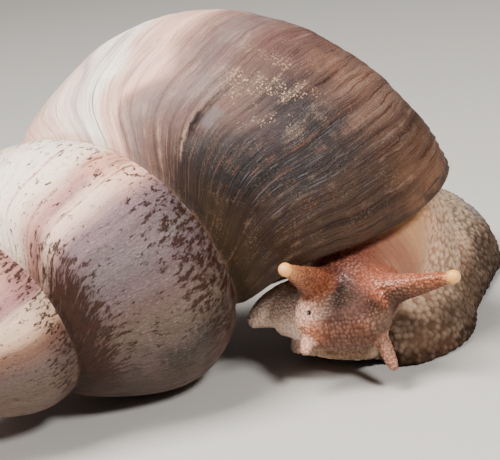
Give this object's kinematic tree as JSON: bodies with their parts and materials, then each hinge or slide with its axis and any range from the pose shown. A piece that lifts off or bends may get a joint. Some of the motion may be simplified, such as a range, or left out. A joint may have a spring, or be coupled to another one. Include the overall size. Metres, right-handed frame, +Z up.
{
  "type": "giant african land snail model",
  "caption": "Life-size still model of a giant African land snail with its head turned back beside its shell.",
  "frame": {"origin": "centre of the bounding box, on the floor", "axes": "+Z up; +X from the spire's tip towards the front of the shell, the longest extent; the head is on the -Y side"},
  "size_m": [0.1432, 0.0936, 0.0544],
  "materials": {
    "shell": "weathered, satin",
    "skin": "wet, fine tubercles",
    "eye_tip": "wet, smooth"
  },
  "bodies": {
    "root": {"shell_body_whorl": "shell", "shell_penultimate_whorl": "shell", "shell_third_whorl": "shell", "shell_fourth_whorl": "shell", "shell_fifth_whorl": "shell", "shell_sixth_whorl": "shell", "shell_apex": "shell", "foot_front": "skin", "foot_fore_margin": "skin", "foot_bend_fore": "skin", "foot_bend": "skin", "foot_bend_rear": "skin", "foot_rear": "skin", "foot_hind": "skin", "tail": "skin", "tail_tip": "skin", "trunk": "skin", "neck": "skin", "head": "skin", "muzzle": "skin", "foot_front_lobe": "skin", "mantle_collar": "skin", "upper_tentacle_right": "skin", "upper_tentacle_left": "skin", "lower_tentacle_right": "skin", "lower_tentacle_left": "skin", "eye_right": "eye_tip", "eye_left": "eye_tip"}
  },
  "joints": []
}
